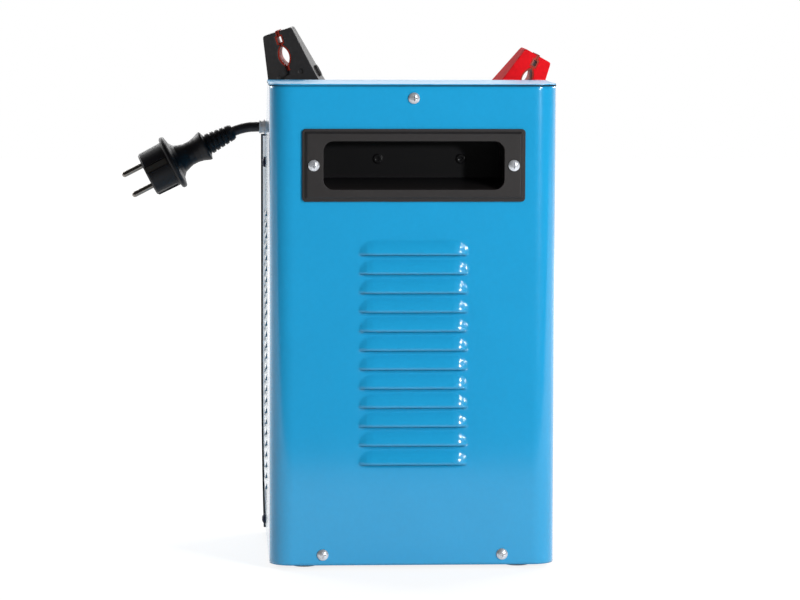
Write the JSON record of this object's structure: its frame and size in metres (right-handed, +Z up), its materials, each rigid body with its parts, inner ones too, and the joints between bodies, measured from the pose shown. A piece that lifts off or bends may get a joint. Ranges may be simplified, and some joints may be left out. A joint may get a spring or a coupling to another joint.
{
  "type": "battery charger with jump starter",
  "caption": "Tall enamelled sheet-metal battery charger with a recessed rear grip, louvres, an open cable bin holding two clamps, and a mains plug on a cord.",
  "frame": {"origin": "on the floor under the cabinet, at the middle of its box without the cords, clamps and plug", "axes": "+Z up; -Y the way the back wall with the grip and louvres faces; +X to the right of someone who looks at the back wall"},
  "size_m": [0.3534, 0.228, 0.4262],
  "materials": {
    "blue_enamel": "satin powder coat",
    "zinc_steel": "zinc-plated sheet",
    "dark_paint": "satin powder coat",
    "dark_plastic": "fine grain",
    "bin_plastic": "fine grain",
    "black_plastic": "semi-gloss",
    "screw_steel": "bright zinc",
    "dark_screw": "blackened",
    "grey_plastic": "moulded",
    "foot_rubber": "matt",
    "cord_black": "satin sheath",
    "cord_red": "satin sheath",
    "tie_plastic": "moulded",
    "plug_plastic": "moulded",
    "plated_brass": "nickel plate",
    "clamp_black": "moulded",
    "clamp_red": "moulded",
    "copper": "copper strip",
    "spring_steel": "plated wire",
    "dial_white": "matt print",
    "clear": "clear",
    "lamp_amber": "translucent",
    "button_red": "moulded",
    "core_steel": "varnished laminations",
    "winding": "varnished copper wire",
    "heat_sink": "extruded",
    "ceramic_ivory": "moulded"
  },
  "bodies": {
    "cabinet": {"cabinet_wrap": "blue_enamel", "top_cover": "blue_enamel", "base_pan": "zinc_steel", "rubber_feet": "foot_rubber", "front_fascia": "dark_paint", "cable_bin": "bin_plastic", "grip_cup": "dark_plastic", "grip_screws": "screw_steel", "case_screws": "screw_steel", "fascia_screws": "dark_screw", "cord_bushing": "grey_plastic", "mains_gland": "black_plastic", "red_gland": "black_plastic", "black_gland": "black_plastic", "mains_tail": "cord_black", "mains_hank": "cord_black", "mains_run": "cord_black", "cord_ties": "tie_plastic", "plug_body": "plug_plastic", "plug_pins": "plated_brass", "plug_earth_contacts": "plated_brass", "red_tail": "cord_red", "red_hank": "cord_red", "red_run": "cord_red", "black_tail": "cord_black", "black_hank": "cord_black", "black_run": "cord_black", "meter_case": "black_plastic", "meter_dial": "dial_white", "meter_window": "clear", "selector_switch": "dark_plastic", "power_switch_frame": "black_plastic", "mode_switch_frame": "black_plastic", "breaker_body": "black_plastic", "pilot_lamps": "lamp_amber", "transformer_core": "core_steel", "transformer_winding": "winding", "transformer_bolts": "screw_steel", "rectifier_plate": "heat_sink", "rectifier_diodes": "screw_steel", "terminal_block": "ceramic_ivory", "black_clamp_body": "clamp_black", "black_clamp_body_jaw": "copper", "black_clamp_crimp": "copper", "black_clamp_pin": "spring_steel", "black_clamp_spring": "spring_steel", "red_clamp_body": "clamp_red", "red_clamp_body_jaw": "copper", "red_clamp_crimp": "copper", "red_clamp_pin": "spring_steel", "red_clamp_spring": "spring_steel"},
    "black_lever": {"black_clamp_lever": "clamp_black", "black_clamp_lever_jaw": "copper"},
    "red_lever": {"red_clamp_lever": "clamp_red", "red_clamp_lever_jaw": "copper"},
    "needle": {"meter_needle": "dark_screw"},
    "knob": {"selector_knob": "black_plastic"},
    "power_key": {"power_rocker": "black_plastic"},
    "mode_key": {"mode_rocker": "black_plastic"},
    "button": {"breaker_button": "button_red"}
  },
  "joints": [
    {"name": "black_clamp_squeeze", "type": "hinge", "parent": "cabinet", "child": "black_lever", "pos_m": [-0.0888, 0.045, 0.3797], "axis": [0.1811, 0.9816, 0.0602], "range_deg": [0, 20], "stiffness_Nm_per_rad": 2, "springref_deg": -20.05},
    {"name": "red_clamp_squeeze", "type": "hinge", "parent": "cabinet", "child": "red_lever", "pos_m": [0.088, 0.045, 0.364], "axis": [0.167, -0.9816, -0.0922], "range_deg": [0, 20], "stiffness_Nm_per_rad": 2, "springref_deg": -20.05},
    {"name": "meter_swing", "type": "hinge", "parent": "cabinet", "child": "needle", "pos_m": [0, 0.0949, 0.158], "axis": [0, 1, 0], "range_deg": [0, 80], "stiffness_Nm_per_rad": 0.002, "springref_deg": -5.73},
    {"name": "knob_turn", "type": "hinge", "parent": "cabinet", "child": "knob", "pos_m": [-0.052, 0.095, 0.096], "axis": [0, 1, 0], "range_deg": [-60, 60]},
    {"name": "power_rock", "type": "hinge", "parent": "cabinet", "child": "power_key", "pos_m": [0.062, 0.0907, 0.096], "axis": [1, 0, 0], "range_deg": [0, 18]},
    {"name": "mode_rock", "type": "hinge", "parent": "cabinet", "child": "mode_key", "pos_m": [0.022, 0.0907, 0.096], "axis": [1, 0, 0], "range_deg": [0, 18]},
    {"name": "breaker_press", "type": "slide", "parent": "cabinet", "child": "button", "axis": [0, -1, 0], "range_m": [0, 0.003], "stiffness_N_per_m": 400, "springref_m": -0.001}
  ]
}
